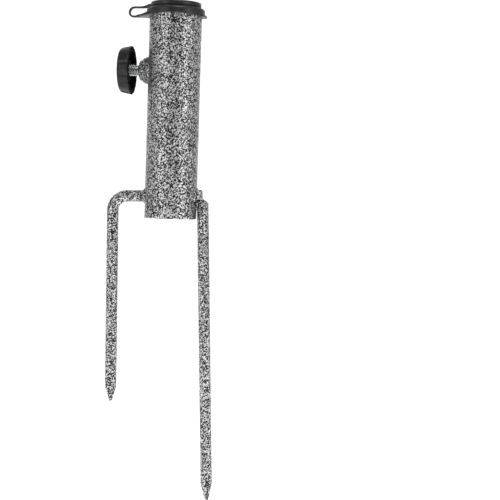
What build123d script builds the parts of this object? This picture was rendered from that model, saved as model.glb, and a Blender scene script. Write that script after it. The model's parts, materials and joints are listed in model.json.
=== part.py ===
from build123d import *

import os
from math import atan, cos, degrees, radians, sin

# Rod holder for bank fishing: a steel tube takes the butt of the rod, two ground spikes hang below it,
# a hand screw clamps the butt and a rubber cap closes the mouth.
# Millimetres. Origin at the centre of the tube's bottom end, +Z up the tube, +X towards the long spike.

os.makedirs("parts", exist_ok=True)

# ---------------------------------------------------------------- driving dimensions
tube_outer_radius = 19.0
tube_wall = 1.5
tube_length = 150.4
tube_cut_reach = 23.0  # from the tube's axis to clear of its wall
tube_bore_radius = tube_outer_radius - tube_wall

bar_radius = 4.25
bar_hole_radius = 4.35
point_blunt_radius = 1.0
point_rounding = 0.6
weld_pull = 0.05  # how far welding draws the bore and the long spike's top in
weld_pull_zone = 22.0  # height of the bore that the crossing arm takes up

arm_height = 16.63
arm_slope = 1.9  # degrees, up towards +X
arm_end_x = 22.9
arm_end_chamfer = 0.4
bend_radius = 10.6
short_spike_x = -43.0  # where the short spike's axis meets the arm's
short_spike_lean = 0.77  # degrees, inwards
short_spike_drop = 150.9  # from the arm's axis to the point
short_point_length = 10.6

long_spike_top = (23.55, 12.45)  # x and z
long_spike_lean = 2.4  # degrees, outwards
long_spike_length = 218.4
long_spike_neck = 15.0
long_point_length = 12.4

screw_height = 107.0
screw_radius = 4.0
screw_tip_x = -17.6
screw_tip_chamfer = 0.8
running_gap = 0.05
tube_screw_hole_radius = 4.3
nut_across_flats = 13.0
nut_thickness = 6.2
nut_chamfer = 0.7
nut_chamfer_angle = 30  # degrees, from the face's plane to the chamfer's cone

knob_rim_x = -31.0
knob_front_x = -39.7
knob_rim_radius = 17.7
knob_front_radius = 15.9
knob_front_rounding = 2.4
knob_hollow_radius = 13.9
knob_web_x = -37.0
knob_hub_radius = 7.7
knob_hub_margin = 0.8  # how far past the hub its end cut reaches
knob_hub_x = -33.2
knob_grooves = 12
knob_groove_radius = 4.0
knob_groove_depth = 0.9
screw_head_radius = 6.0
screw_head_x = -38.1
screw_head_thickness = 4.3

collar_opening_radius = 17.7
collar_skirt_radius = tube_outer_radius + running_gap
collar_outer_radius = 21.1
collar_top_z = 152.1
collar_top_rounding = 2.0
collar_side_z = 145.7
collar_front_z = 147.0
lip_radius = 22.8
lip_half_width = 7.5
tab_thickness = 1.3
tab_rise = 2.2
tab_end_x = -29.2
tab_end_margin = 0.7  # how much wider than the strap the tab's end is, on each side
tab_root_angle = radians(45)

strap_thickness = 1.4
strap_width = 3.8
strap_lower_z = 145.95
strap_left_x = -34.0
strap_lower_radius = 2.75
strap_upper_radius = 3.85
strap_fold_angle = 45.0  # degrees from the strap's leftmost point to each fold line
strap_gusset = 1.8

lid_radius = 18.3
lid_base_z = 152.2
lid_thickness = 4.0
lid_edge_rounding = 1.1
lid_dome = 0.5
lid_shoulder = 0.6  # share of the flat's radius at which the dome's arc is set
lid_shoulder_share = 0.65  # of the dome's height, there
plug_radius = 17.4
plug_end_radius = 17.1
plug_depth = 1.75  # it stops above the tube's mouth, in the collar's opening
plug_wall = 1.5

# ---------------------------------------------------------------- places worked out from them
arm_direction = Vector(cos(radians(arm_slope)), 0, sin(radians(arm_slope)))
arm_centre = Vector(0, 0, arm_height)
short_direction = Vector(sin(radians(short_spike_lean)), 0, -cos(radians(short_spike_lean)))
long_direction = Vector(sin(radians(long_spike_lean)), 0, -cos(radians(long_spike_lean)))
long_top_centre = Vector(long_spike_top[0], 0, long_spike_top[1])
nut_inner_x = -tube_outer_radius
nut_outer_x = nut_inner_x - nut_thickness

strap_bend_z = strap_lower_z + strap_lower_radius
strap_upper_z = strap_bend_z + strap_upper_radius
strap_lower_centre = (strap_left_x + strap_lower_radius, strap_bend_z)
strap_upper_centre = (strap_left_x + strap_upper_radius, strap_bend_z)


def on_arm(distance):
    """The point on the arm's axis that lies this far along it from the tube's axis."""
    return arm_centre + arm_direction * distance


def across_screw(x):
    """The plane across the clamp screw's axis at x, facing the tube."""
    return Plane(origin=(x, 0, screw_height), x_dir=(0, 1, 0), z_dir=(1, 0, 0))


def taper_between(start_radius, end_radius, length):
    """The taper angle in degrees that takes one radius to the other over a length."""
    return degrees(atan((start_radius - end_radius) / length))


def strap_stretch(centre, middle_radius, start_angle, arc_size):
    """Adds one curved stretch of strap to the sketch that is open."""
    with BuildLine() as stretch:
        outside = CenterArc(centre, middle_radius + strap_thickness / 2, start_angle, arc_size)
        inside = CenterArc(centre, middle_radius - strap_thickness / 2, start_angle, arc_size)
        Line(outside @ 0, inside @ 0)
        Line(outside @ 1, inside @ 1)
    make_face(stretch.edges())


# ---------------------------------------------------------------- tube
with BuildPart() as holder_tube:
    with BuildSketch(Plane.XY):
        Circle(tube_outer_radius)
    extrude(amount=tube_length)
    with BuildSketch(Plane.XY.offset(weld_pull_zone)):
        Circle(tube_bore_radius)
    extrude(amount=tube_length - weld_pull_zone, mode=Mode.SUBTRACT)
    with BuildSketch(Plane.XY):
        Circle(tube_bore_radius - weld_pull)
    extrude(
        amount=weld_pull_zone,
        taper=taper_between(tube_bore_radius - weld_pull, tube_bore_radius, weld_pull_zone),
        mode=Mode.SUBTRACT,
    )
    with BuildSketch(Plane(origin=arm_centre, z_dir=arm_direction)):
        Circle(bar_hole_radius)
    extrude(amount=tube_cut_reach, both=True, mode=Mode.SUBTRACT)
    with BuildSketch(across_screw(-tube_cut_reach)):
        Circle(tube_screw_hole_radius)
    extrude(amount=tube_outer_radius, mode=Mode.SUBTRACT)
holder_tube.part.label = "holder_tube"
export_step(holder_tube.part, "parts/holder_tube.step")

# ---------------------------------------------------------------- cross arm with the short spike
arm_end = on_arm(arm_end_x / cos(radians(arm_slope)))
arm_corner = on_arm(short_spike_x / cos(radians(arm_slope)))
short_point_base = arm_corner + short_direction * (short_spike_drop - short_point_length)

with BuildPart() as cross_arm_spike:
    with BuildLine() as arm_route:
        FilletPolyline(arm_end, arm_corner, short_point_base, radius=bend_radius)
    with BuildSketch(Plane(origin=arm_route.line @ 0, z_dir=arm_route.line % 0)):
        Circle(bar_radius)
    sweep(path=arm_route.line)
    with BuildSketch(Plane(origin=short_point_base, z_dir=short_direction)):
        Circle(bar_radius)
    extrude(
        amount=short_point_length,
        taper=taper_between(bar_radius, point_blunt_radius, short_point_length),
    )
    fillet(cross_arm_spike.edges().sort_by(Axis.Z)[0], radius=point_rounding)
    chamfer(cross_arm_spike.edges().sort_by(Axis.X)[-1], length=arm_end_chamfer)
cross_arm_spike.part.label = "cross_arm_spike"
export_step(cross_arm_spike.part, "parts/cross_arm_spike.step")

# ---------------------------------------------------------------- long spike
long_straight_length = long_spike_length - long_point_length
long_point_base = long_top_centre + long_direction * long_straight_length

with BuildPart() as long_spike:
    with BuildSketch(Plane(origin=long_top_centre, z_dir=long_direction)):
        Circle(bar_radius - weld_pull)
    extrude(
        amount=long_spike_neck,
        taper=taper_between(bar_radius - weld_pull, bar_radius, long_spike_neck),
    )
    with BuildSketch(
        Plane(origin=long_top_centre + long_direction * long_spike_neck, z_dir=long_direction)
    ):
        Circle(bar_radius)
    extrude(amount=long_straight_length - long_spike_neck)
    with BuildSketch(Plane(origin=long_point_base, z_dir=long_direction)):
        Circle(bar_radius)
    extrude(
        amount=long_point_length,
        taper=taper_between(bar_radius, point_blunt_radius, long_point_length),
    )
    fillet(long_spike.edges().sort_by(Axis.Z)[0], radius=point_rounding)
long_spike.part.label = "long_spike"
export_step(long_spike.part, "parts/long_spike.step")

# ---------------------------------------------------------------- welds round the arm
weld_start = 17.4  # inside the tube's surface, so that the bead follows its curve
weld_root_radius = 7.4
weld_taper = 45.0
left_weld_height = 3.0
right_weld_height = 2.7

with BuildPart() as arm_weld_left:
    with BuildSketch(Plane(origin=on_arm(-weld_start), z_dir=-arm_direction)):
        Circle(weld_root_radius)
    extrude(amount=left_weld_height, taper=weld_taper)
    with BuildSketch(Plane.XY):
        Circle(tube_outer_radius)
    extrude(amount=tube_length, mode=Mode.SUBTRACT)
    add(cross_arm_spike.part, mode=Mode.SUBTRACT)
arm_weld_left.part.label = "arm_weld_left"
export_step(arm_weld_left.part, "parts/arm_weld_left.step")

with BuildPart() as arm_weld_right:
    with BuildSketch(Plane(origin=on_arm(weld_start), z_dir=arm_direction)):
        Circle(weld_root_radius)
    extrude(amount=right_weld_height, taper=weld_taper)
    with BuildSketch(Plane.XY):
        Circle(tube_outer_radius)
    extrude(amount=tube_length, mode=Mode.SUBTRACT)
    add(cross_arm_spike.part, mode=Mode.SUBTRACT)
    add(long_spike.part, mode=Mode.SUBTRACT)
arm_weld_right.part.label = "arm_weld_right"
export_step(arm_weld_right.part, "parts/arm_weld_right.step")

# ---------------------------------------------------------------- welds of the long spike
top_weld_height = 2.9
top_weld_reach = 3.9  # how far past the spike's axis the fillet runs
top_weld_bulge = (2.2, 1.6)  # from the arm's end, and above the spike's top
top_weld_toe_rise = 0.3
top_weld_sink = 0.4
top_weld_inset = 0.1  # within the bar's radius
top_weld_below = 6.0
top_weld_above = 2.0
side_weld_bottom = 5.5
side_weld_half_width = 2.7
side_weld_inner_x = 18.0
side_weld_outer_x = 23.0

with BuildPart() as spike_top_weld:
    with BuildSketch(Plane.XZ):
        with BuildLine():
            weld_toe = (long_spike_top[0] + top_weld_reach, long_spike_top[1] + top_weld_toe_rise)
            weld_crown = (arm_end_x, long_spike_top[1] + top_weld_height)
            weld_back = (tube_outer_radius, long_spike_top[1] + top_weld_height)
            weld_floor = (tube_outer_radius, long_spike_top[1] - top_weld_sink)
            weld_bulge = (arm_end_x + top_weld_bulge[0], long_spike_top[1] + top_weld_bulge[1])
            ThreePointArc(weld_crown, weld_bulge, weld_toe)
            Line(weld_toe, (weld_toe[0], weld_floor[1]))
            Line((weld_toe[0], weld_floor[1]), weld_floor)
            Line(weld_floor, weld_back)
            Line(weld_back, weld_crown)
        make_face()
    extrude(amount=bar_radius, both=True)
    with BuildSketch(
        Plane(origin=long_top_centre - long_direction * top_weld_below, z_dir=long_direction)
    ):
        Circle(bar_radius - top_weld_inset)
    extrude(amount=top_weld_below + top_weld_above, mode=Mode.INTERSECT)
    add(cross_arm_spike.part, mode=Mode.SUBTRACT)
    add(long_spike.part, mode=Mode.SUBTRACT)
    add(arm_weld_right.part, mode=Mode.SUBTRACT)
    with BuildSketch(Plane.XY):
        Circle(tube_outer_radius)
    extrude(amount=tube_length, mode=Mode.SUBTRACT)
spike_top_weld.part.label = "spike_top_weld"
export_step(spike_top_weld.part, "parts/spike_top_weld.step")

with BuildPart() as spike_side_weld:
    with BuildSketch(Plane.XY.offset(side_weld_bottom)):
        with Locations(((side_weld_inner_x + side_weld_outer_x) / 2, 0)):
            Rectangle(side_weld_outer_x - side_weld_inner_x, 2 * side_weld_half_width)
    extrude(amount=long_spike_top[1] - side_weld_bottom)
    with BuildSketch(Plane.XY):
        Circle(tube_outer_radius)
    extrude(amount=tube_length, mode=Mode.SUBTRACT)
    add(long_spike.part, mode=Mode.SUBTRACT)
    add(arm_weld_right.part, mode=Mode.SUBTRACT)
    add(spike_top_weld.part, mode=Mode.SUBTRACT)
spike_side_weld.part.label = "spike_side_weld"
export_step(spike_side_weld.part, "parts/spike_side_weld.step")

# ---------------------------------------------------------------- clamp nut and its weld
nut_corner_radius = nut_across_flats / 2 / cos(radians(30))
nut_weld_radius = 11.2
nut_weld_start_x = -15.2
nut_weld_height = 8.2
nut_weld_taper = 22
nut_weld_overlap = 0.5

with BuildPart() as clamp_nut:
    with BuildSketch(across_screw(nut_outer_x)):
        RegularPolygon(radius=nut_corner_radius, side_count=6, rotation=90)
    extrude(amount=nut_thickness)
    with BuildSketch(across_screw(nut_outer_x)):
        Circle(nut_corner_radius - nut_chamfer)
    extrude(amount=nut_thickness, taper=-nut_chamfer_angle, mode=Mode.INTERSECT)
    with BuildSketch(across_screw(nut_outer_x)):
        Circle(screw_radius + running_gap)
    extrude(amount=nut_thickness, mode=Mode.SUBTRACT)
clamp_nut.part.label = "clamp_nut"
export_step(clamp_nut.part, "parts/clamp_nut.step")

with BuildPart() as nut_weld:
    with BuildSketch(Plane(origin=(nut_weld_start_x, 0, screw_height), z_dir=(-1, 0, 0))):
        Circle(nut_weld_radius)
    extrude(amount=nut_weld_height, taper=nut_weld_taper)
    with BuildSketch(across_screw(nut_outer_x)):
        Circle(nut_across_flats / 2 - nut_weld_overlap)
    extrude(amount=nut_thickness * 2, mode=Mode.SUBTRACT)
    with BuildSketch(Plane.XY):
        Circle(tube_outer_radius)
    extrude(amount=tube_length, mode=Mode.SUBTRACT)
    add(clamp_nut.part, mode=Mode.SUBTRACT)
nut_weld.part.label = "nut_weld"
export_step(nut_weld.part, "parts/nut_weld.step")

# ---------------------------------------------------------------- clamp screw and knob
with BuildPart() as clamp_screw:
    with BuildSketch(across_screw(screw_head_x)):
        Circle(screw_head_radius)
    extrude(amount=screw_head_thickness)
    with BuildSketch(across_screw(screw_head_x)):
        Circle(screw_radius)
    extrude(amount=screw_tip_x - screw_head_x)
    chamfer(clamp_screw.edges().sort_by(Axis.X)[-1], length=screw_tip_chamfer)
clamp_screw.part.label = "clamp_screw"
export_step(clamp_screw.part, "parts/clamp_screw.step")

knob_depth = knob_rim_x - knob_front_x
knob_flare = (knob_rim_radius - knob_front_radius) / knob_depth
groove_overrun = 2.0
groove_centre = knob_front_radius - knob_groove_depth + knob_groove_radius - knob_flare * groove_overrun

with BuildPart() as clamp_knob:
    with BuildSketch(across_screw(knob_front_x)):
        Circle(knob_front_radius)
    extrude(amount=knob_depth, taper=-degrees(atan(knob_flare)))
    fillet(clamp_knob.edges().sort_by(Axis.X)[0], radius=knob_front_rounding)
    for groove in range(knob_grooves):
        groove_angle = radians(360 / knob_grooves * (groove + 0.5))
        groove_out = Vector(0, -cos(groove_angle), sin(groove_angle))
        groove_start = Vector(knob_front_x - groove_overrun, 0, screw_height) + groove_out * groove_centre
        with BuildSketch(Plane(origin=groove_start, z_dir=Vector(1, 0, 0) + groove_out * knob_flare)):
            Circle(knob_groove_radius)
        extrude(amount=knob_depth + 2 * groove_overrun, mode=Mode.SUBTRACT)
    with BuildSketch(across_screw(knob_web_x)):
        Circle(knob_hollow_radius)
        Circle(knob_hub_radius, mode=Mode.SUBTRACT)
    extrude(amount=knob_depth, mode=Mode.SUBTRACT)
    with BuildSketch(across_screw(knob_hub_x)):
        Circle(knob_hub_radius + knob_hub_margin)
    extrude(amount=knob_depth, mode=Mode.SUBTRACT)
    with BuildSketch(across_screw(screw_head_x - running_gap)):
        Circle(screw_head_radius + running_gap)
    extrude(amount=screw_head_thickness + 2 * running_gap, mode=Mode.SUBTRACT)
    with BuildSketch(across_screw(screw_head_x)):
        Circle(screw_radius + running_gap)
    extrude(amount=knob_depth, mode=Mode.SUBTRACT)
clamp_knob.part.label = "clamp_knob"
export_step(clamp_knob.part, "parts/clamp_knob.step")

# ---------------------------------------------------------------- rubber collar
# The collar's lower edge arches up at the front and back, and carries a pull lip at +X
# and at -X a tab that narrows into the strap.
arch_rise = collar_front_z - collar_side_z
arch_radius = (collar_outer_radius**2 + arch_rise**2) / (2 * arch_rise)
tab_root = (-lip_radius * cos(tab_root_angle), lip_radius * sin(tab_root_angle))
tab_end_half_width = strap_width / 2 + tab_end_margin

with BuildPart() as cap_collar:
    with BuildSketch(Plane.XY.offset(collar_side_z)):
        Circle(collar_outer_radius)
    extrude(amount=collar_top_z - collar_side_z)
    fillet(cap_collar.edges().sort_by(Axis.Z)[-1], radius=collar_top_rounding)
    with BuildSketch(Plane.XZ.offset(-2 * collar_outer_radius)):
        with Locations((0, collar_front_z - arch_radius)):
            Circle(arch_radius)
    extrude(amount=4 * collar_outer_radius, mode=Mode.SUBTRACT)
    with BuildSketch(Plane.XY.offset(collar_side_z)):
        Circle(lip_radius)
        with Locations((lip_radius, 0)):
            Rectangle(lip_radius, 2 * lip_half_width, mode=Mode.INTERSECT)
    extrude(amount=tab_thickness)
    with BuildSketch(Plane.XY.offset(collar_side_z)):
        with BuildLine():
            Polyline(
                tab_root,
                (tab_end_x, tab_end_half_width),
                (tab_end_x, -tab_end_half_width),
                (tab_root[0], -tab_root[1]),
                close=True,
            )
        make_face()
    extrude(amount=tab_rise + tab_thickness)
    with BuildSketch(Plane.XZ.offset(-2 * collar_outer_radius)):
        with BuildLine():
            Polyline(
                (tab_end_x, collar_side_z + strap_thickness),
                (-collar_outer_radius, collar_side_z + tab_thickness + tab_rise),
                (-collar_outer_radius, collar_top_z),
                (tab_end_x, collar_top_z),
                close=True,
            )
        make_face()
    extrude(amount=4 * collar_outer_radius, mode=Mode.SUBTRACT)
    with BuildSketch(Plane.XY):
        Circle(collar_opening_radius)
    extrude(amount=collar_top_z, mode=Mode.SUBTRACT)
    with BuildSketch(Plane.XY):
        Circle(collar_skirt_radius)
    extrude(amount=tube_length + running_gap, mode=Mode.SUBTRACT)
cap_collar.part.label = "cap_collar"
export_step(cap_collar.part, "parts/cap_collar.step")

# ---------------------------------------------------------------- rubber strap
with BuildPart() as strap_root:
    with BuildSketch(Plane.XZ):
        strap_stretch(strap_lower_centre, strap_lower_radius, 180 + strap_fold_angle, 90 - strap_fold_angle)
        with BuildLine():
            Polyline(
                (strap_lower_centre[0], strap_lower_z - strap_thickness / 2),
                (tab_end_x, strap_lower_z - strap_thickness / 2),
                (tab_end_x, strap_lower_z + strap_thickness / 2),
                (strap_lower_centre[0], strap_lower_z + strap_thickness / 2),
                close=True,
            )
        make_face()
    extrude(amount=strap_width / 2, both=True)
strap_root.part.label = "strap_root"
export_step(strap_root.part, "parts/strap_root.step")

with BuildPart() as strap_bend:
    with BuildSketch(Plane.XZ):
        strap_stretch(strap_lower_centre, strap_lower_radius, 180, strap_fold_angle)
        strap_stretch(strap_upper_centre, strap_upper_radius, 180 - strap_fold_angle, strap_fold_angle)
    extrude(amount=strap_width / 2, both=True)
strap_bend.part.label = "strap_bend"
export_step(strap_bend.part, "parts/strap_bend.step")

with BuildPart() as strap_tip:
    with BuildSketch(Plane.XZ):
        strap_stretch(strap_upper_centre, strap_upper_radius, 90, 90 - strap_fold_angle)
        with BuildLine():
            Polyline(
                (strap_upper_centre[0], strap_upper_z - strap_thickness / 2),
                (-collar_outer_radius - strap_gusset, strap_upper_z - strap_thickness / 2),
                (-collar_outer_radius, lid_base_z),
                (-plug_radius, lid_base_z),
                (-plug_radius, strap_upper_z + strap_thickness / 2 + strap_gusset),
                (-lid_radius - strap_gusset, strap_upper_z + strap_thickness / 2),
                (strap_upper_centre[0], strap_upper_z + strap_thickness / 2),
                close=True,
            )
        make_face()
    extrude(amount=strap_width / 2, both=True)
    with BuildSketch(Plane.XY.offset(collar_side_z)):
        Circle(lid_radius)
    extrude(amount=4 * lid_thickness, mode=Mode.SUBTRACT)
strap_tip.part.label = "strap_tip"
export_step(strap_tip.part, "parts/strap_tip.step")

# ---------------------------------------------------------------- rubber lid
with BuildPart() as cap_lid:
    with BuildSketch(Plane.XZ):
        with BuildLine():
            lid_top_z = lid_base_z + lid_thickness
            plug_end_z = lid_base_z - plug_depth
            plug_roof_z = lid_base_z + plug_wall
            top_arc_start = (lid_radius - lid_edge_rounding, lid_top_z)
            Line((0, plug_roof_z), (0, lid_top_z + lid_dome))
            ThreePointArc(
                (0, lid_top_z + lid_dome),
                (top_arc_start[0] * lid_shoulder, lid_top_z + lid_dome * lid_shoulder_share),
                top_arc_start,
            )
            RadiusArc(top_arc_start, (lid_radius, lid_top_z - lid_edge_rounding), lid_edge_rounding)
            Polyline(
                (lid_radius, lid_top_z - lid_edge_rounding),
                (lid_radius, lid_base_z),
                (plug_radius, lid_base_z),
                (plug_end_radius, plug_end_z),
                (plug_end_radius - plug_wall, plug_end_z),
                (plug_radius - plug_wall, plug_roof_z),
                (0, plug_roof_z),
            )
        make_face()
    revolve(axis=Axis.Z)
cap_lid.part.label = "cap_lid"
export_step(cap_lid.part, "parts/cap_lid.step")
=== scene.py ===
import json
from math import acos, atan2, cos, exp, floor, hypot, pi, radians, sin, sqrt, tan

import bmesh
import bpy
from mathutils import Matrix, Vector, noise
from mathutils.geometry import intersect_line_line


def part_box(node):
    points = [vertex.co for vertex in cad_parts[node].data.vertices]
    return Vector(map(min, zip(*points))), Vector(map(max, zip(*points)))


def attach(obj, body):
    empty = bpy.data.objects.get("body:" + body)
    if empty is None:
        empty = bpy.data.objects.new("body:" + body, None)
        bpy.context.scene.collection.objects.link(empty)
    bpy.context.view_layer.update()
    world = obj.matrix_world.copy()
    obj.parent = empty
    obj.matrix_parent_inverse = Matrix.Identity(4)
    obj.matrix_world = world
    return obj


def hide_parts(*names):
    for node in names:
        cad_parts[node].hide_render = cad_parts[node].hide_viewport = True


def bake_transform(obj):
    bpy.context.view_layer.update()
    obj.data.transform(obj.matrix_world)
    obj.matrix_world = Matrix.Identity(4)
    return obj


# Rod holder for bank fishing. Lengths are in millimetres, and MM turns them into the frame's metres.
# The frame's origin is the centre of the tube's bottom end.
# +Z runs up the tube and +X towards the long spike.

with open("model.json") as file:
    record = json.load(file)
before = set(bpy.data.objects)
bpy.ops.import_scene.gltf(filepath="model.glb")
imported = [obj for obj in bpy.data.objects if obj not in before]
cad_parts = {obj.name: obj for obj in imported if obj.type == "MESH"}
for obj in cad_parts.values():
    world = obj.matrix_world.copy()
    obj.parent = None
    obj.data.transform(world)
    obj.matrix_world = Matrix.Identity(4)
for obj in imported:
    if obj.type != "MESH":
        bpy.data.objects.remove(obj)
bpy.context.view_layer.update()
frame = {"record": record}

MM = 0.001
Y_AXIS = Vector((0, 1, 0))
UPRIGHT = Matrix.Identity(4)


# ---------------------------------------------------------------- places taken from the frame
def corners(node):
    """The lowest and the highest corner of a CAD node."""
    low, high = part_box(node)
    return low / MM, high / MM


mounts = {mount["name"]: mount for mount in frame["record"]["mounts"]}
short_direction = Vector(mounts["short_spike"]["axis"]).normalized()
long_direction = Vector(mounts["long_spike"]["axis"]).normalized()
short_middle = Vector(mounts["short_spike"]["pos_m"]) / MM
long_middle = Vector(mounts["long_spike"]["pos_m"]) / MM
bar_radius = mounts["short_spike"]["dims"]["r_mm"]
bore_radius = mounts["rod_bore"]["dims"]["r_mm"]

tube_radius = corners("holder_tube")[1].x
tube_top = corners("holder_tube")[1].z
arm_end_x = corners("cross_arm_spike")[1].x
short_tip_z = corners("cross_arm_spike")[0].z
long_tip_z = corners("long_spike")[0].z
nut_outer_x = corners("clamp_nut")[0].x
nut_inner_x = corners("clamp_nut")[1].x
nut_half_width = corners("clamp_nut")[1].y
screw_tip_x = corners("clamp_screw")[1].x
knob_front_x = corners("clamp_knob")[0].x
knob_rim_x = corners("clamp_knob")[1].x
knob_rim_radius = corners("clamp_knob")[1].y
screw_height = sum(corner.z for corner in corners("clamp_screw")) / 2
collar_low_z = corners("cap_collar")[0].z
collar_top_z = corners("cap_collar")[1].z
collar_radius = corners("cap_collar")[1].y
lip_radius = corners("cap_collar")[1].x
tab_end_x = corners("cap_collar")[0].x
lid_radius = corners("cap_lid")[1].y
lid_peak_z = corners("cap_lid")[1].z
plug_low_z = corners("cap_lid")[0].z
strap_half_width = corners("strap_bend")[1].y

ALONG_SCREW = Matrix.Translation((0, 0, screw_height)) @ Matrix.Rotation(radians(90), 4, "Y")

# ---------------------------------------------------------------- mesh helpers
CREASE = 38.0  # degrees; edges sharper than this stay sharp
WELD_DISTANCE = 1e-7  # metres
BAR_SIDES = 56


def around(count):
    """Angles spread evenly round a full turn."""
    return [2 * pi * step / count for step in range(count)]


def smooth_step(value):
    """0 below 0, 1 above 1, and an S curve between."""
    value = min(max(value, 0.0), 1.0)
    return value * value * (3 - 2 * value)


def soft_min(first, second, softness):
    """The smaller of two numbers, rounded off where they are about equal."""
    mix = min(max(0.5 + 0.5 * (second - first) / softness, 0.0), 1.0)
    return second * (1 - mix) + first * mix - softness * mix * (1 - mix)


def rounded(outline, steps=4, closed=True):
    """Points along an outline of (across, along, rounding) corners, each one rounded off."""
    points = []
    for index, (across, along, rounding) in enumerate(outline):
        corner = Vector((across, along))
        at_an_end = not closed and index in (0, len(outline) - 1)
        if rounding == 0 or at_an_end:
            points.append(corner)
            continue
        before = Vector(outline[index - 1][:2]) - corner
        after = Vector(outline[(index + 1) % len(outline)][:2]) - corner
        reach = rounding / tan(before.angle(after) / 2)
        start = corner + before.normalized() * reach
        end = corner + after.normalized() * reach
        for step in range(steps + 1):
            share = step / steps
            points.append(start.lerp(corner, share).lerp(corner.lerp(end, share), share))
    return points


def divided(points, longest):
    """The points of a closed outline, with more put in where two are further apart than longest."""
    result = []
    for index, point in enumerate(points):
        after = points[(index + 1) % len(points)]
        pieces = int((after - point).length / longest) + 1
        result.extend(point.lerp(after, piece / pieces) for piece in range(pieces))
    return result


def value_at(amount, angle):
    """A number as it is, or a function of the angle worked out."""
    return amount(angle) if callable(amount) else amount


def ring(place, radius, height, sides):
    """A ring of points about place's Z axis. Radius and height are numbers or functions of the angle."""
    points = []
    for angle in around(sides):
        across = value_at(radius, angle)
        points.append(place @ Vector((across * cos(angle), across * sin(angle), value_at(height, angle))))
    return points


def mesh_through(name, rings, closed=False):
    """A mesh through rings of points. Closed, the last ring joins the first; if not, its ends are capped."""
    size = len(rings[0])
    points = [point * MM for each in rings for point in each]
    faces = []
    for row in range(len(rings) - (0 if closed else 1)):
        here = row * size
        there = (row + 1) % len(rings) * size
        for step in range(size):
            after = (step + 1) % size
            faces.append((here + step, here + after, there + after, there + step))
    if not closed:
        for row in (0, len(rings) - 1):
            points.append(sum(rings[row], Vector()) / size * MM)
            for step in range(size):
                faces.append((row * size + step, row * size + (step + 1) % size, len(points) - 1))
    mesh = bpy.data.meshes.new(name)
    mesh.from_pydata(points, [], faces)
    shape = bmesh.new()
    shape.from_mesh(mesh)
    bmesh.ops.remove_doubles(shape, verts=shape.verts, dist=WELD_DISTANCE)
    bmesh.ops.recalc_face_normals(shape, faces=shape.faces)
    shape.to_mesh(mesh)
    shape.free()
    return mesh


def shown(mesh):
    """An object for a mesh, in the scene."""
    thing = bpy.data.objects.new(mesh.name, mesh)
    bpy.context.scene.collection.objects.link(thing)
    return thing


def carved(mesh, cutters):
    """The mesh with the cutters taken out of it."""
    block = shown(mesh)
    tools = [shown(cutter) for cutter in cutters]
    for tool in tools:
        cut = block.modifiers.new("cut", "BOOLEAN")
        cut.operation = "DIFFERENCE"
        cut.solver = "EXACT"
        cut.object = tool
    result = bpy.data.meshes.new_from_object(block.evaluated_get(bpy.context.evaluated_depsgraph_get()))
    name = mesh.name
    for thing in [block, *tools]:
        bpy.data.objects.remove(thing)
    for used in [mesh, *cutters]:
        bpy.data.meshes.remove(used)
    result.name = name
    return result


def settle(mesh, material, nodes):
    """A piece that stands for its CAD nodes, smooth but for its creases."""
    mesh.materials.clear()
    mesh.materials.append(material)
    mesh.shade_smooth()
    mesh.set_sharp_from_angle(angle=radians(CREASE))
    piece = shown(mesh)
    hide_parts(*nodes)
    return piece


# ---------------------------------------------------------------- material helpers
def set_inputs(tree, node, inputs):
    """Sets a node's inputs, by name or number, from values and other nodes' outputs."""
    for name, value in inputs.items():
        if isinstance(value, bpy.types.NodeSocket):
            tree.links.new(value, node.inputs[name])
        else:
            node.inputs[name].default_value = value


def add(tree, kind, inputs=None, **settings):
    """Adds a node with its settings and its inputs."""
    made = tree.nodes.new(kind)
    for name, setting in settings.items():
        setattr(made, name, setting)
    set_inputs(tree, made, inputs or {})
    return made


def math_of(tree, operation, first, second=0.0):
    """The output of a Math node."""
    return add(tree, "ShaderNodeMath", {0: first, 1: second}, operation=operation).outputs[0]


def noise_of(tree, place, scale, detail=2.0, roughness=0.5, distortion=0.0):
    """The value of a noise texture at a place."""
    inputs = {"Vector": place, "Scale": scale, "Detail": detail}
    inputs.update({"Roughness": roughness, "Distortion": distortion})
    return add(tree, "ShaderNodeTexNoise", inputs).outputs["Fac"]


def stretched(tree, value, low, high, to_low=0.0, to_high=1.0):
    """The value's range from low to high, taken smoothly to a new range."""
    inputs = {"Value": value, "From Min": low, "From Max": high, "To Min": to_low, "To Max": to_high}
    return add(tree, "ShaderNodeMapRange", inputs, interpolation_type="SMOOTHSTEP").outputs["Result"]


def mixed(tree, share, first, second):
    """Two colours mixed by a share."""
    return add(tree, "ShaderNodeMix", {0: share, 6: first, 7: second}, data_type="RGBA").outputs[2]


def raised(tree, height, strength, distance):
    """A bump from a height, which is in units of distance, in metres."""
    inputs = {"Height": height, "Strength": strength, "Distance": distance}
    return add(tree, "ShaderNodeBump", inputs).outputs["Normal"]


def from_screw_axis(tree, place):
    """How far a place is from the clamp screw's axis, in metres."""
    parts = add(tree, "ShaderNodeSeparateXYZ", {0: place}).outputs
    above = math_of(tree, "SUBTRACT", parts["Z"], screw_height * MM)
    across_square = math_of(tree, "POWER", parts["Y"], 2.0)
    above_square = math_of(tree, "POWER", above, 2.0)
    return math_of(tree, "SQRT", math_of(tree, "ADD", across_square, above_square))


def grey(value):
    """A neutral colour."""
    return (value, value, value, 1.0)


def new_material(name):
    """A material with its node tree, its shader and the place on the object that is shaded."""
    material = bpy.data.materials.new(name)
    material["slot"] = name
    material.use_nodes = True
    tree = material.node_tree
    shader = tree.nodes["Principled BSDF"]
    place = add(tree, "ShaderNodeTexCoord").outputs["Object"]
    return material, tree, shader, place


# ---------------------------------------------------------------- materials, named after the record's slots
VEIN_SCALE = 1030.0
VEIN_EDGE = (0.53, 0.565)  # black below the first, silver above the second
DRIFT_SCALE = 180.0
DRIFT = 0.06  # how far the amount of silver wanders over the holder
FLAKE_SCALE = 1500.0
# Painted light: round the nut's foot and weld the silver is dimmed, standing in for the black knob's dark
# reflection and shade there.
KNOB_REFLECTION_SILVER = 0.3  # the share of the silver that is left where the painted reflection of the black knob is darkest
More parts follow.
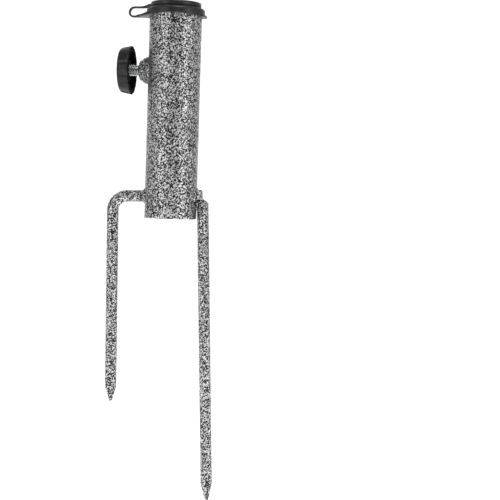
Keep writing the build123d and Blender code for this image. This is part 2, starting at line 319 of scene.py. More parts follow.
# Where that painted darkening is, from full to none: up or down from the screw, into the tube's wall and out
# along the nut.
KNOB_REFLECTION_RISE = (7.0, 15.0)
KNOB_REFLECTION_INNER_X = (-18.6, -17.6)
KNOB_REFLECTION_OUTER_X = (-20.5, -23.0)


def painted_knob_reflection(tree, place):
    """1 round the foot of the nut and its weld, where the paint is darkened as a painted reflection and
    shade of the black knob, and 0 away from there.
    """
    parts = add(tree, "ShaderNodeSeparateXYZ", {0: place}).outputs
    rise = math_of(tree, "ABSOLUTE", math_of(tree, "SUBTRACT", parts["Z"], screw_height * MM))
    near_nut = stretched(tree, rise, KNOB_REFLECTION_RISE[0] * MM, KNOB_REFLECTION_RISE[1] * MM, 1.0, 0.0)
    outside = stretched(tree, parts["X"], KNOB_REFLECTION_INNER_X[0] * MM, KNOB_REFLECTION_INNER_X[1] * MM, 1.0, 0.0)
    near_wall = stretched(tree, parts["X"], KNOB_REFLECTION_OUTER_X[1] * MM, KNOB_REFLECTION_OUTER_X[0] * MM)
    return math_of(tree, "MULTIPLY", near_nut, math_of(tree, "MULTIPLY", outside, near_wall))


def vein_paint():
    """Powder coat that shrinks into silver veins over black as it cures, with a painted reflection of the
    black knob darkening it round the nut's weld.
    """
    material, tree, shader, place = new_material("vein_paint")
    wander = noise_of(tree, place, DRIFT_SCALE, 2.0)
    worms = noise_of(tree, place, VEIN_SCALE, 0.0, 0.45, 0.9)
    drift = math_of(tree, "MULTIPLY", math_of(tree, "SUBTRACT", wander, 0.5), DRIFT)
    veins = stretched(tree, math_of(tree, "ADD", worms, drift), *VEIN_EDGE)
    # The silver kept under the painted reflection of the knob: 1 away from the nut, less at its foot.
    left = stretched(tree, painted_knob_reflection(tree, place), 0.0, 1.0, 1.0, KNOB_REFLECTION_SILVER)
    silver = math_of(tree, "MULTIPLY", veins, left)
    flakes = stretched(tree, noise_of(tree, place, FLAKE_SCALE, 1.0), 0.3, 0.7)
    bright = mixed(tree, flakes, grey(0.46), grey(0.84))
    colour = mixed(tree, silver, grey(0.003), bright)
    relief = math_of(tree, "ADD", silver, math_of(tree, "MULTIPLY", flakes, 0.15))
    set_inputs(tree, shader, {
        "Base Color": colour,
        "Metallic": stretched(tree, silver, 0.0, 1.0, 0.0, 0.95),
        "Roughness": stretched(tree, silver, 0.0, 1.0, 0.5, 0.45),
        "Specular IOR Level": 0.3,
        "Coat Weight": 0.4,
        "Coat Roughness": 0.12,
        "Normal": raised(tree, relief, 0.6, 0.0001),
    })
    return material


# Painted shade: inside the first radius the thread's roots are painted dark; outside the second the crests
# have the plated colour.
ROOT_SHADE_RADIUS = 3.35
PLATED_RADIUS = 3.8


def zinc_steel():
    """Zinc-plated screw: bright crests, with painted shade darkening the roots of the thread."""
    material, tree, shader, place = new_material("zinc_steel")
    crest = stretched(tree, from_screw_axis(tree, place), ROOT_SHADE_RADIUS * MM, PLATED_RADIUS * MM)
    cloud = noise_of(tree, place, 900.0, 3.0)
    plated = mixed(tree, cloud, (0.72, 0.76, 0.73, 1.0), (0.94, 0.96, 0.94, 1.0))
    set_inputs(tree, shader, {
        # The dark root colour is painted shade in the thread's grooves.
        "Base Color": mixed(tree, crest, (0.22, 0.24, 0.22, 1.0), plated),
        "Metallic": 1.0,
        "Roughness": stretched(tree, crest, 0.0, 1.0, 0.5, 0.24),
        "Normal": raised(tree, noise_of(tree, place, 3000.0, 2.0), 0.25, 0.00004),
    })
    return material


# The knob's unpolished part: inside a radius, behind its front face, and on its rim, each from and to.
DULL_RADIUS = (14.1, 14.4)
DULL_BEHIND_FRONT = (1.2, 1.6)
DULL_RIM = (0.35, 0.2)


def black_plastic():
    """Moulded plastic with a fine grain, satin outside and unpolished in the hollow and on the rim."""
    material, tree, shader, place = new_material("black_plastic")
    grain = noise_of(tree, place, 2600.0, 3.0, 0.6)
    scuffs = stretched(tree, noise_of(tree, place, 420.0, 4.0, 0.7), 0.56, 0.72)
    along = add(tree, "ShaderNodeSeparateXYZ", {0: place}).outputs["X"]
    bowl = stretched(
        tree, from_screw_axis(tree, place), DULL_RADIUS[0] * MM, DULL_RADIUS[1] * MM, 1.0, 0.0
    )
    behind_front = stretched(tree, along, *((knob_front_x + depth) * MM for depth in DULL_BEHIND_FRONT))
    rim = stretched(tree, along, *((knob_rim_x - depth) * MM for depth in DULL_RIM))
    unpolished = math_of(tree, "MAXIMUM", math_of(tree, "MULTIPLY", bowl, behind_front), rim)
    gloss = stretched(tree, grain, 0.3, 0.7, 0.22, 0.34)
    set_inputs(tree, shader, {
        "Base Color": mixed(tree, scuffs, (0.005, 0.005, 0.006, 1.0), (0.02, 0.02, 0.022, 1.0)),
        "Roughness": math_of(tree, "MAXIMUM", gloss, math_of(tree, "MULTIPLY", unpolished, 0.9)),
        "Specular IOR Level": stretched(tree, unpolished, 0.0, 1.0, 0.32, 0.04),
        "Normal": raised(tree, grain, 0.35, 0.00006),
    })
    return material


def black_rubber():
    """Soft moulded rubber with a trace of dust on it."""
    material, tree, shader, place = new_material("black_rubber")
    skin = noise_of(tree, place, 1800.0, 3.0, 0.55)
    dust = stretched(tree, noise_of(tree, place, 260.0, 5.0, 0.65), 0.5, 0.8)
    set_inputs(tree, shader, {
        "Base Color": mixed(tree, dust, (0.008, 0.008, 0.009, 1.0), (0.024, 0.024, 0.025, 1.0)),
        "Roughness": stretched(tree, skin, 0.3, 0.7, 0.3, 0.42),
        "Specular IOR Level": 0.4,
        "Normal": raised(tree, skin, 0.25, 0.00005),
    })
    return material


paint = vein_paint()
zinc = zinc_steel()
plastic = black_plastic()
rubber = black_rubber()

# ---------------------------------------------------------------- tube
ARM_HEIGHT = 16.63
ARM_SLOPE = radians(1.9)
TUBE_SIDES = 144
TUBE_ROW = 4.0
ARM_HOLE_RADIUS = bar_radius + 0.1
SCREW_HOLE_RADIUS = 4.3
LIP_ROUNDING = 0.45

arm_direction = Vector((cos(ARM_SLOPE), 0, sin(ARM_SLOPE)))
arm_centre = Vector((0, 0, ARM_HEIGHT))
ALONG_ARM = Matrix.Translation(arm_centre) @ arm_direction.to_track_quat("Z", "Y").to_matrix().to_4x4()

tube_section = rounded([
    (tube_radius, 0, LIP_ROUNDING),
    (tube_radius, tube_top, LIP_ROUNDING),
    (bore_radius, tube_top, LIP_ROUNDING),
    (bore_radius, 0, LIP_ROUNDING),
])
tube_outline = divided(tube_section, TUBE_ROW)
tube_rings = [ring(UPRIGHT, radius, height, TUBE_SIDES) for radius, height in tube_outline]
cut_reach = 1.2 * tube_radius
arm_cut = [ring(ALONG_ARM, ARM_HOLE_RADIUS, reach, BAR_SIDES) for reach in (-cut_reach, cut_reach)]
screw_cut = [ring(ALONG_SCREW, SCREW_HOLE_RADIUS, reach, BAR_SIDES) for reach in (-cut_reach, 0)]
tube = carved(
    mesh_through("tube", tube_rings, closed=True),
    [mesh_through("arm_cut", arm_cut), mesh_through("screw_cut", screw_cut)],
)
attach(settle(tube, paint, ["holder_tube"]), "root")

# ---------------------------------------------------------------- cross arm and spikes
BEND_RADIUS = 10.6
BEND_STEPS = 20
POINT_RADIUS = 1.0
SHORT_POINT = 10.6
LONG_POINT = 12.4
LONG_TOP_Z = 12.45
END_CHAMFER = 0.5


def ring_across(centre, direction, radius):
    """A ring of a bar that runs in the XZ plane."""
    side = direction.cross(Y_AXIS)
    return [centre + (side * cos(angle) + Y_AXIS * sin(angle)) * radius for angle in around(BAR_SIDES)]


def point_section(start, length, point_length):
    """(radius, distance) along a bar from start to its point, which is blunt."""
    outline = [
        (bar_radius, start, 0),
        (bar_radius, length - point_length, 1.0),
        (POINT_RADIUS, length, 0.55),
        (0, length, 0),
    ]
    return rounded(outline, closed=False)


arm_corner = intersect_line_line(
    arm_centre, arm_centre + arm_direction, short_middle, short_middle + short_direction
)[0]
arm_end = arm_centre + arm_direction * (arm_end_x / arm_direction.x)
bend_angle = (-arm_direction).angle(short_direction)
bend_reach = BEND_RADIUS * tan(bend_angle / 2)
bend_start = arm_corner + arm_direction * bend_reach
bend_centre = bend_start - Vector((-arm_direction.z, 0, arm_direction.x)) * BEND_RADIUS
short_start = arm_corner + short_direction * bend_reach
short_length = (short_start.z - short_tip_z) / -short_direction.z

arm_rings = [
    ring_across(arm_end, -arm_direction, bar_radius - END_CHAMFER),
    ring_across(arm_end - arm_direction * END_CHAMFER, -arm_direction, bar_radius),
]
for step in range(BEND_STEPS + 1):
    turn = Matrix.Rotation(-bend_angle * step / BEND_STEPS, 3, "Y")
    arm_rings.append(ring_across(
        bend_centre + turn @ (bend_start - bend_centre),
        turn @ -arm_direction,
        bar_radius,
    ))
for radius, distance in point_section(1.0, short_length, SHORT_POINT):
    arm_rings.append(ring_across(short_start + short_direction * distance, short_direction, radius))
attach(settle(mesh_through("cross_arm", arm_rings), paint, ["cross_arm_spike"]), "root")

long_top = long_middle + long_direction * ((LONG_TOP_Z - long_middle.z) / long_direction.z)
long_length = (long_top.z - long_tip_z) / -long_direction.z
long_rings = [ring_across(long_top, long_direction, bar_radius - END_CHAMFER)]
for radius, distance in point_section(END_CHAMFER, long_length, LONG_POINT):
    long_rings.append(ring_across(long_top + long_direction * distance, long_direction, radius))
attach(settle(mesh_through("long_spike_bar", long_rings), paint, ["long_spike"]), "root")

# ---------------------------------------------------------------- weld beads
BEAD_SIDES = 120
BEAD_STEPS = 9
BEAD_SINK = 0.8


def unevenness(angle, along, seed):
    """A small steady wobble, from -1 to 1, for hand-made beads."""
    return noise.noise(Vector((1.7 * cos(angle), 1.7 * sin(angle) + along, seed)))


def bead_round(name, axis_height, side, bead, ripples, seed):
    """A bead round a bar that enters the tube along X, from its toe on the tube to its crest on the bar.

    The bead is its toe's radius, how much wider the toe is along Y, its crest's radius and how far
    the crest is from the tube's axis.
    """
    toe, toe_spread, crest, crest_reach = bead
    rings = []
    for step in range(-1, BEAD_STEPS + 2):
        turn = min(max(step / BEAD_STEPS, 0.0), 1.0) * pi / 2
        sink = BEAD_SINK if step in (-1, BEAD_STEPS + 1) else 0.0
        points = []
        for angle in around(BEAD_SIDES):
            wobble = unevenness(angle, 0.0, seed)
            wave = abs(sin(ripples * angle / 2 + 0.5 * turn + wobble))
            toe_here = toe + toe_spread * sin(angle) ** 2 + 0.25 * wobble
            radius = crest + (toe_here - crest) * cos(turn) ** 1.7
            if step == BEAD_STEPS + 1:
                radius -= sink
            wall = sqrt(tube_radius**2 - (radius * sin(angle)) ** 2)
            height = (crest_reach - wall + 0.2 * wobble) * sin(turn) ** 1.5
            height += 0.22 * wave * sin(2 * turn)
            reach = wall + height - (sink if step == -1 else 0.0)
            points.append(Vector((side * reach, radius * sin(angle), axis_height + radius * cos(angle))))
        rings.append(points)
    return mesh_through(name, rings, closed=True)


ARM_TOE = 5.8
ARM_TOE_SPREAD = 1.3
LEFT_CREST_REACH = 20.4
RIGHT_CREST_REACH = 20.1
arm_crest = bar_radius + 0.1
left_arm_height = ARM_HEIGHT - tube_radius * tan(ARM_SLOPE)
right_arm_height = ARM_HEIGHT + tube_radius * tan(ARM_SLOPE)
left_size = (ARM_TOE, ARM_TOE_SPREAD, arm_crest, LEFT_CREST_REACH)
right_size = (ARM_TOE, ARM_TOE_SPREAD, arm_crest, RIGHT_CREST_REACH)
left_bead = bead_round("arm_bead_left", left_arm_height, -1, left_size, 15, 3.1)
right_bead = bead_round("arm_bead_right", right_arm_height, 1, right_size, 13, 8.4)
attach(settle(left_bead, paint, ["arm_weld_left"]), "root")
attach(settle(right_bead, paint, ["arm_weld_right"]), "root")

TOP_BEAD_RISE = 2.9
TOP_BEAD_TOE = 0.25
TOP_BEAD_ROWS = 14
top_bead_end_x = long_top.x + bar_radius - 0.35


def top_bead():
    """The fillet on the long spike's top, which runs down from the arm's end to the far edge."""
    rings = []
    for row in range(TOP_BEAD_ROWS + 1):
        share = 1 - row / TOP_BEAD_ROWS
        points = []
        for angle in around(BAR_SIDES):
            across = (bar_radius - 0.12) * share
            x = long_top.x + across * cos(angle)
            y = across * sin(angle)
            slope = (top_bead_end_x - x) / (top_bead_end_x - arm_end_x)
            rise = TOP_BEAD_TOE + (TOP_BEAD_RISE - TOP_BEAD_TOE) * min(max(slope, 0.0), 1.0)
            rise *= 1 - share**7
            rise += 0.14 * abs(sin(2.6 * (x - arm_end_x) + 0.25 * y * y)) * (1 - share**4)
            points.append(Vector((x, y, LONG_TOP_Z + rise - 0.3 * share**7)))
        rings.append(points)
    return mesh_through("spike_top_bead", rings)


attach(settle(top_bead(), paint, ["spike_top_weld"]), "root")

SIDE_BEAD_LOW = corners("spike_side_weld")[0].z
SIDE_BEAD_HIGH = LONG_TOP_Z + 0.6
SIDE_BEAD_RADIUS = 1.0
SIDE_BEAD_Y = 1.95
SIDE_BEAD_ROWS = 40
SIDE_BEAD_RIPPLES = 6


def side_bead(side):
    """A bead in the groove between the tube and the long spike."""
    rings = []
    for row in range(SIDE_BEAD_ROWS + 1):
        share = row / SIDE_BEAD_ROWS
        end_round = sqrt(max(1 - (2 * share - 1) ** 8, 0.0))
        radius = SIDE_BEAD_RADIUS * end_round * (0.88 + 0.18 * abs(sin(SIDE_BEAD_RIPPLES * pi * share)))
        z = SIDE_BEAD_LOW + (SIDE_BEAD_HIGH - SIDE_BEAD_LOW) * share
        spike_x = long_top.x + (LONG_TOP_Z - z) * -long_direction.x / long_direction.z
        x = (sqrt(tube_radius**2 - SIDE_BEAD_Y**2) + spike_x - sqrt(bar_radius**2 - SIDE_BEAD_Y**2)) / 2
        place = Matrix.Translation((x, side * SIDE_BEAD_Y, 0))
        rings.append(ring(place, radius, z, BAR_SIDES))
    return rings


for side, where in ((-1, "front"), (1, "back")):
    bead = mesh_through("spike_side_bead_" + where, side_bead(side))
    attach(settle(bead, paint, ["spike_side_weld"]), "root")

# ---------------------------------------------------------------- clamp nut
NUT_CORNERS = 6
NUT_SHARPNESS = 26
NUT_FACE_RADIUS = nut_half_width + 0.3
NUT_CHAMFER = tan(radians(30))
SCREW_RADIUS = 4.0
NUT_BORE_CHAMFER = 0.55


def nut_radius(angle):
    """A hexagon with a corner straight down, its corners softened by paint."""
    total = 0.0
    for corner in range(NUT_CORNERS):
        facing = cos(angle - 2 * pi * (corner + 0.5) / NUT_CORNERS) / nut_half_width
        total += max(facing, 0.0) ** NUT_SHARPNESS
    return total ** (-1 / NUT_SHARPNESS)


def nut_face_edge(angle):
    """Where the flat of the nut's end ends: at the chamfer, or at the side where that is nearer."""
    return min(NUT_FACE_RADIUS, nut_radius(angle))


def nut_chamfer_x(angle):
    """Where the chamfer meets the nut's side."""
    return nut_outer_x + max(nut_radius(angle) - NUT_FACE_RADIUS, 0.0) * NUT_CHAMFER + 0.12


nut_bore = SCREW_RADIUS + 0.05
nut_rings = [
    ring(ALONG_SCREW, radius, depth, BEAD_SIDES)
    for radius, depth in (
        (nut_bore, nut_inner_x),
        (nut_bore, nut_outer_x + NUT_BORE_CHAMFER),
        (nut_bore + NUT_BORE_CHAMFER, nut_outer_x),
        (lambda angle: nut_face_edge(angle) - 0.12, nut_outer_x),
        (nut_radius, nut_chamfer_x),
        (nut_radius, nut_inner_x),
    )
]
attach(settle(mesh_through("hex_nut", nut_rings, closed=True), paint, ["clamp_nut"]), "root")

NUT_TOE = 10.1
NUT_TOE_SPREAD = -1.2
NUT_CREST = 7.9
NUT_CREST_REACH = 23.3
nut_bead_size = (NUT_TOE, NUT_TOE_SPREAD, NUT_CREST, NUT_CREST_REACH)
nut_bead = bead_round("nut_bead", screw_height, -1, nut_bead_size, 19, 5.7)
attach(settle(nut_bead, paint, ["nut_weld"]), "root")

# ---------------------------------------------------------------- clamp screw
THREAD_PITCH = 1.25
THREAD_ROOT = 3.33
THREAD_ROWS = 12  # to a turn
THREAD_SIDES = 64
THREAD_START_X = knob_front_x + 4
TIP_RADIUS = 3.1


def thread_radius(x):
    """The screw's outline at x, as a function of the angle: a right-hand thread, chamfered at the tip."""
    def radius(angle):
        turns = x / THREAD_PITCH - angle / (2 * pi)
        flank = abs(turns - floor(turns) - 0.5) * 2
        depth = min(max((flank - 0.14) / 0.72, 0.0), 1.0)
        crest = THREAD_ROOT + (SCREW_RADIUS - THREAD_ROOT) * smooth_step(depth)
        return min(crest, TIP_RADIUS + (screw_tip_x - x))
    return radius


thread_length = screw_tip_x - THREAD_START_X
thread_steps = int(thread_length / THREAD_PITCH * THREAD_ROWS)
thread_places = [THREAD_START_X + thread_length * step / thread_steps for step in range(thread_steps + 1)]
screw_rings = [ring(ALONG_SCREW, thread_radius(x), x, THREAD_SIDES) for x in thread_places]
# The screw turns with the knob, so its thread rides on the knob's body.
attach(settle(mesh_through("threaded_screw", screw_rings), zinc, ["clamp_screw"]), "knob_body")

# ---------------------------------------------------------------- clamp knob
KNOB_SIDES = 288
KNOB_GROOVES = 12
KNOB_FRONT_RADIUS = 15.9
KNOB_FRONT_ROUNDING = 2.4
GROOVE_RADIUS = 2.2
GROOVE_DEPTH = 1.0
GROOVE_SOFTNESS = 0.2
HOLLOW_RADIUS = 13.9
WEB_X = knob_front_x + 2.7
HUB_RADIUS = 7.7
HUB_X = knob_rim_x - 2.2
DISH_RADIUS = 11.0
DISH_DEPTH = 0.5
knob_flare = (knob_rim_radius - KNOB_FRONT_RADIUS) / (knob_rim_x - knob_front_x)


def fluted(radius, x):
    """A radius of the knob at x, as a function of the angle, kept out of the grooves round its edge."""
    def outline(angle):
        grip = KNOB_FRONT_RADIUS + knob_flare * (x - knob_front_x)
        groove_centre = grip - GROOVE_DEPTH + GROOVE_RADIUS
        pitch = 2 * pi / KNOB_GROOVES
        aside = abs(angle % pitch - pitch / 2)
        gap = GROOVE_RADIUS**2 - (groove_centre * sin(aside)) ** 2
        wall = groove_centre * cos(aside) - sqrt(max(gap, 0.0))
        return soft_min(radius, wall, GROOVE_SOFTNESS)
    return outline


knob_outline = rounded([
    (0, knob_front_x + DISH_DEPTH, 0),
    (DISH_RADIUS, knob_front_x + DISH_DEPTH, 0.5),
    (DISH_RADIUS + 0.8, knob_front_x, 0.5),
    (KNOB_FRONT_RADIUS, knob_front_x, KNOB_FRONT_ROUNDING),
    (knob_rim_radius, knob_rim_x, 0.6),
    (HOLLOW_RADIUS + 0.2, knob_rim_x, 0.4),
    (HOLLOW_RADIUS, WEB_X, 0.9),
    (HUB_RADIUS + 0.2, WEB_X, 0.9),
    (HUB_RADIUS, HUB_X, 0.5),
    (THREAD_ROOT, HUB_X, 0),
], steps=5, closed=False)
knob_rings = [ring(ALONG_SCREW, fluted(radius, x), x, KNOB_SIDES) for radius, x in knob_outline]
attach(settle(mesh_through("knob", knob_rings), plastic, ["clamp_knob"]), "knob_body")

# ---------------------------------------------------------------- rubber collar
COLLAR_SIDES = 360
COLLAR_OPENING = 17.7
SKIRT_RADIUS = tube_radius + 0.05
SKIRT_TOP = tube_top + 0.05
COLLAR_ROUNDING = 2.0
COLLAR_ARCH = 1.3
FOOT_THICKNESS = 1.2
LIP_HALF_WIDTH = 7.5
GUSSET_RISE = 2.3
GUSSET_REACH = 1.7
GUSSET_SPREAD = 2.2
FOOT_ROWS = (0.0, 0.12, 0.3, 0.5, 0.75, 0.93)
TAB_END_HALF_WIDTH = strap_half_width + 0.5
tab_tip = hypot(tab_end_x, TAB_END_HALF_WIDTH)
tab_spread = acos(collar_radius / tab_tip) + atan2(TAB_END_HALF_WIDTH, -tab_end_x)


def collar_foot_z(angle):
    """The collar's lower edge, which arches up at the front and back."""
    return collar_low_z + COLLAR_ARCH * sin(angle) ** 2


def from_strap(angle):
    """The angle between a direction and the strap's."""
    return abs(angle - pi)


def foot_radius(angle):
    """The outline of the collar's foot: a pull lip at +X, and at -X a tab that narrows into the strap."""
    aside = from_strap(angle)
    if aside < tab_spread:
        flank = collar_radius / cos(tab_spread - aside)
        return soft_min(flank, -tab_end_x / cos(aside), 1.2)
    lip = smooth_step((LIP_HALF_WIDTH - collar_radius * abs(sin(angle))) / 1.6 + 0.5) * (cos(angle) > 0)
    return collar_radius + (lip_radius - collar_radius) * lip


def foot_ring(share):
    """A ring on top of the foot, at a share of the way from the collar's wall to the foot's edge."""
    def radius(angle):
        return collar_radius + (foot_radius(angle) - collar_radius) * share

    def height(angle):
        out = radius(angle) - collar_radius
        near_tab = smooth_step(GUSSET_SPREAD * (1 - from_strap(angle) / tab_spread))
        rise = GUSSET_RISE * exp(-out / GUSSET_REACH) * near_tab
        return collar_foot_z(angle) + FOOT_THICKNESS + rise

    return ring(UPRIGHT, radius, height, COLLAR_SIDES)


def above_foot(rise):
    """A height above the collar's lower edge, as a function of the angle."""
    return lambda angle: collar_foot_z(angle) + rise


def drawn_in(step):
    """The foot's outline, drawn in by a step, as a function of the angle."""
    return lambda angle: foot_radius(angle) - step


collar_rings = [
    ring(UPRIGHT, COLLAR_OPENING, SKIRT_TOP, COLLAR_SIDES),
    ring(UPRIGHT, COLLAR_OPENING, collar_top_z - 0.35, COLLAR_SIDES),
    ring(UPRIGHT, COLLAR_OPENING + 0.1, collar_top_z - 0.1, COLLAR_SIDES),
    ring(UPRIGHT, COLLAR_OPENING + 0.35, collar_top_z, COLLAR_SIDES),
]
for step in range(7):
    turn = pi / 2 * step / 6
    across = collar_radius - COLLAR_ROUNDING * (1 - sin(turn))
    height = collar_top_z - COLLAR_ROUNDING * (1 - cos(turn))
    collar_rings.append(ring(UPRIGHT, across, height, COLLAR_SIDES))
collar_rings.extend(foot_ring(share) for share in FOOT_ROWS)
collar_rings.extend([
    ring(UPRIGHT, drawn_in(0.0), above_foot(FOOT_THICKNESS - 0.4), COLLAR_SIDES),
    ring(UPRIGHT, drawn_in(0.0), above_foot(0.35), COLLAR_SIDES),
    ring(UPRIGHT, drawn_in(0.1), above_foot(0.1), COLLAR_SIDES),
    ring(UPRIGHT, drawn_in(0.4), above_foot(0.0), COLLAR_SIDES),
    ring(UPRIGHT, SKIRT_RADIUS + 0.25, above_foot(0.0), COLLAR_SIDES),
    ring(UPRIGHT, SKIRT_RADIUS, above_foot(0.25), COLLAR_SIDES),
    ring(UPRIGHT, SKIRT_RADIUS, SKIRT_TOP, COLLAR_SIDES),
])
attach(settle(mesh_through("collar", collar_rings, closed=True), rubber, ["cap_collar"]), "root")

# ---------------------------------------------------------------- rubber strap
STRAP_SIDES = 32
STRAP_THICKNESS = 1.4
STRAP_LOWER_Z = 145.95
STRAP_LEFT_X = -34.0
STRAP_LOWER_RADIUS = 2.75
STRAP_UPPER_RADIUS = 3.85
# How the strap grows into the lid: x, and how much higher, thicker and wider to each side it is there.
STRAP_FLARE = (
    (-25.5, 0.05, 0.0, 0.0),
    (-23.2, 0.25, 0.25, 0.1),
    (-21.0, 0.75, 0.75, 0.4),
    (-19.4, 1.2, 1.3, 0.9),
    (1.5 - lid_radius, 1.5, 1.3, 1.2),
)
LID_BASE_Z = collar_top_z + 0.1
strap_turn_z = STRAP_LOWER_Z + STRAP_LOWER_RADIUS
strap_upper_z = strap_turn_z + STRAP_UPPER_RADIUS
lower_arc_x = STRAP_LEFT_X + STRAP_LOWER_RADIUS
upper_arc_x = STRAP_LEFT_X + STRAP_UPPER_RADIUS


def strap_ring(centre, direction, thickness, half_width):
    """A rounded rectangle across the strap."""
    side = direction.cross(Y_AXIS)
    points = []
    for angle in around(STRAP_SIDES):
        across = abs(cos(angle)) ** 0.7 * (1 if cos(angle) > 0 else -1)
        along = abs(sin(angle)) ** 0.35 * (1 if sin(angle) > 0 else -1)
        points.append(centre + side * across * thickness / 2 + Y_AXIS * along * half_width)
    return points


def strap_arc(centre_x, radius, start, end, steps=14):
    """Rings round a quarter turn of the strap. Angles are from +X, and the strap runs clockwise."""
    rings = []
    for step in range(steps + 1):
        angle = radians(start + (end - start) * step / steps)
        centre = Vector((centre_x + radius * cos(angle), 0, strap_turn_z + radius * sin(angle)))
        direction = Vector((sin(angle), 0, -cos(angle)))
        rings.append(strap_ring(centre, direction, STRAP_THICKNESS, strap_half_width))
    return rings


def strap_run(points):
    """Rings along a straight run of the strap, from (x, z, thickness, half width) stations."""
    rings = []
    for index, (x, z, thickness, half_width) in enumerate(points):
        before = points[max(index - 1, 0)]
        after = points[min(index + 1, len(points) - 1)]
        direction = Vector((after[0] - before[0], 0, after[1] - before[1])).normalized()
        rings.append(strap_ring(Vector((x, 0, z)), direction, thickness, half_width))
    return rings


lower_run = strap_run([
    (tab_end_x + 3.0, STRAP_LOWER_Z - 0.1, STRAP_THICKNESS - 0.25, strap_half_width),
    (tab_end_x + 0.5, STRAP_LOWER_Z, STRAP_THICKNESS, strap_half_width + 0.25),
    (tab_end_x - 0.6, STRAP_LOWER_Z, STRAP_THICKNESS, strap_half_width),
    (lower_arc_x + 0.6, STRAP_LOWER_Z, STRAP_THICKNESS, strap_half_width),
])
lower_rings = lower_run + strap_arc(lower_arc_x, STRAP_LOWER_RADIUS, 270, 180)
strap_lower = settle(mesh_through("strap_lower", lower_rings), rubber, ["strap_root", "strap_bend"])
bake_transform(strap_lower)

upper_stations = [(upper_arc_x + 0.8, strap_upper_z, STRAP_THICKNESS, strap_half_width)]
for x, rise, thicker, wider in STRAP_FLARE:
    upper_stations.append((x, strap_upper_z + rise, STRAP_THICKNESS + thicker, strap_half_width + wider))
upper_rings = strap_arc(upper_arc_x, STRAP_UPPER_RADIUS, 180, 90) + strap_run(upper_stations)
strap_upper = settle(mesh_through("strap_upper", upper_rings), rubber, ["strap_tip"])
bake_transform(strap_upper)

# ---------------------------------------------------------------- rubber lid
LID_SIDES = 160
LID_DOME = 0.5
LID_ROUNDING = 1.1
PLUG_RADIUS = 17.4
PLUG_END_RADIUS = 17.1
PLUG_WALL = 1.5
UNDERCUT_HEIGHT = 0.7  # between the lid's brim and the collar
lid_edge_z = lid_peak_z - LID_DOME

lid_outline = rounded([
    (0, lid_peak_z, 0),
    (lid_radius * 0.35, lid_peak_z - LID_DOME * 0.12, 1.0),
    (lid_radius * 0.7, lid_peak_z - LID_DOME * 0.5, 1.0),
    (lid_radius, lid_edge_z, LID_ROUNDING),
    (lid_radius, LID_BASE_Z + UNDERCUT_HEIGHT + 0.4, 0.4),
    (PLUG_RADIUS, LID_BASE_Z + UNDERCUT_HEIGHT, 0.2),
    (PLUG_RADIUS, LID_BASE_Z, 0.15),
    (PLUG_END_RADIUS, plug_low_z, 0.3),
    (PLUG_END_RADIUS - PLUG_WALL, plug_low_z, 0.3),
    (PLUG_RADIUS - PLUG_WALL, LID_BASE_Z + PLUG_WALL, 0.5),
    (0, LID_BASE_Z + PLUG_WALL, 0),
], closed=False)
lid_rings = [ring(UPRIGHT, radius, height, LID_SIDES) for radius, height in lid_outline]
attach(settle(mesh_through("lid", lid_rings), rubber, ["cap_lid"]), "lid_body")

# ---------------------------------------------------------------- floor
FLOOR_RADIUS = 4000.0
FLOOR_THICKNESS = 20.0
floor_heights = (long_tip_z, long_tip_z - FLOOR_THICKNESS)
floor_rings = [ring(UPRIGHT, FLOOR_RADIUS, height, BEAD_SIDES) for height in floor_heights]
floor_mesh = mesh_through("floor", floor_rings)
floor_material, floor_tree, floor_shader, floor_place = new_material("floor_paper")
paper = noise_of(floor_tree, floor_place, 60.0, 3.0)
set_inputs(floor_tree, floor_shader, {
    "Base Color": mixed(floor_tree, paper, grey(0.94), grey(0.97)),
    "Roughness": 0.85,
    "Specular IOR Level": 0.0,
})
floor_mesh.materials.append(floor_material)
shown(floor_mesh)

# ---------------------------------------------------------------- camera
CAMERA_AZIMUTH = radians(10.0)
CAMERA_DISTANCE = 950.0
CAMERA_HEIGHT = 21.6
CAMERA_YAW = radians(6.451)
CAMERA_TILT = radians(90 - 2.580)
CAMERA_ROLL = radians(1.758)
CAMERA_LENS = 93.6  # on a sensor 36 wide

to_camera = Vector((sin(CAMERA_AZIMUTH), -cos(CAMERA_AZIMUTH), 0))
camera_data = bpy.data.cameras.new("camera")
camera_data.lens = CAMERA_LENS
camera_data.sensor_width = 36.0
camera_data.clip_start = 0.01
camera = bpy.data.objects.new("camera", camera_data)
camera.matrix_world = (
    Matrix.Translation((to_camera * CAMERA_DISTANCE + Vector((0, 0, CAMERA_HEIGHT))) * MM)
    @ Matrix.Rotation(CAMERA_YAW, 4, "Z")
    @ Matrix.Rotation(CAMERA_TILT, 4, "X")
    @ Matrix.Rotation(CAMERA_ROLL, 4, "Z")
)
bpy.context.scene.collection.objects.link(camera)
bpy.context.scene.camera = camera


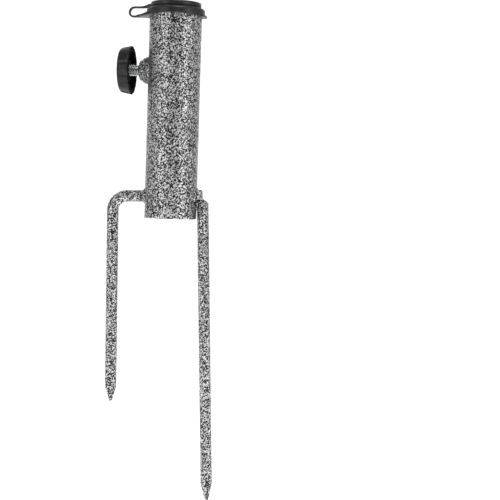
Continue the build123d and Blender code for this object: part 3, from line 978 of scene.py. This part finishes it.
# ---------------------------------------------------------------- light
def softbox(name, azimuth, elevation, distance, width, height, power):
    """A soft area light aimed at the tube. Its azimuth is from the camera's side, in degrees."""
    data = bpy.data.lights.new(name, "AREA")
    data.shape = "RECTANGLE"
    data.size = width * MM
    data.size_y = height * MM
    data.energy = power
    turn = CAMERA_AZIMUTH + radians(azimuth)
    rise = radians(elevation)
    back = Vector((sin(turn) * cos(rise), -cos(turn) * cos(rise), sin(rise)))
    light = bpy.data.objects.new(name, data)
    light.location = back * distance * MM
    light.rotation_mode = "QUATERNION"
    light.rotation_quaternion = (-back).to_track_quat("-Z", "Y")
    light.visible_camera = False
    bpy.context.scene.collection.objects.link(light)


# name, azimuth, elevation, distance, width, height, power
softbox("softbox_left", -50, 12, 900, 400, 900, 1.4)
softbox("softbox_right", 49, 12, 900, 400, 900, 2.0)
softbox("softbox_top", 15, 62, 1100, 500, 500, 5.0)

# What reflections see: dark behind the camera, grey to the sides and bright beyond the holder.
LEVEL_BEHIND_CAMERA = 0.02
LEVEL_ASIDE = 0.45
LEVEL_BEYOND = 0.5
# What the camera and soft bounces see.
BACKDROP_LEVEL = 1.2

world = bpy.data.worlds.new("studio")
bpy.context.scene.world = world
world.use_nodes = True
sky = world.node_tree
sky.nodes.clear()
direction = add(sky, "ShaderNodeTexCoord").outputs["Generated"]
facing_node = add(sky, "ShaderNodeVectorMath", {0: direction, 1: to_camera}, operation="DOT_PRODUCT")
facing = facing_node.outputs["Value"]
to_the_sides = stretched(sky, facing, 0.4, 0.95, LEVEL_ASIDE, LEVEL_BEHIND_CAMERA)
beyond = stretched(sky, facing, -0.95, -0.4, LEVEL_BEYOND, 0.0)
studio_level = math_of(sky, "ADD", to_the_sides, beyond)
studio = add(sky, "ShaderNodeBackground", {"Color": grey(1.0), "Strength": studio_level}).outputs[0]
backdrop = add(sky, "ShaderNodeBackground", {"Color": grey(1.0), "Strength": BACKDROP_LEVEL}).outputs[0]
rays = add(sky, "ShaderNodeLightPath").outputs
plain = math_of(sky, "MAXIMUM", rays["Is Camera Ray"], rays["Is Diffuse Ray"])
both = add(sky, "ShaderNodeMixShader", {0: plain, 1: studio, 2: backdrop}).outputs[0]
add(sky, "ShaderNodeOutputWorld", {"Surface": both})

bpy.context.scene.view_settings.view_transform = "Standard"
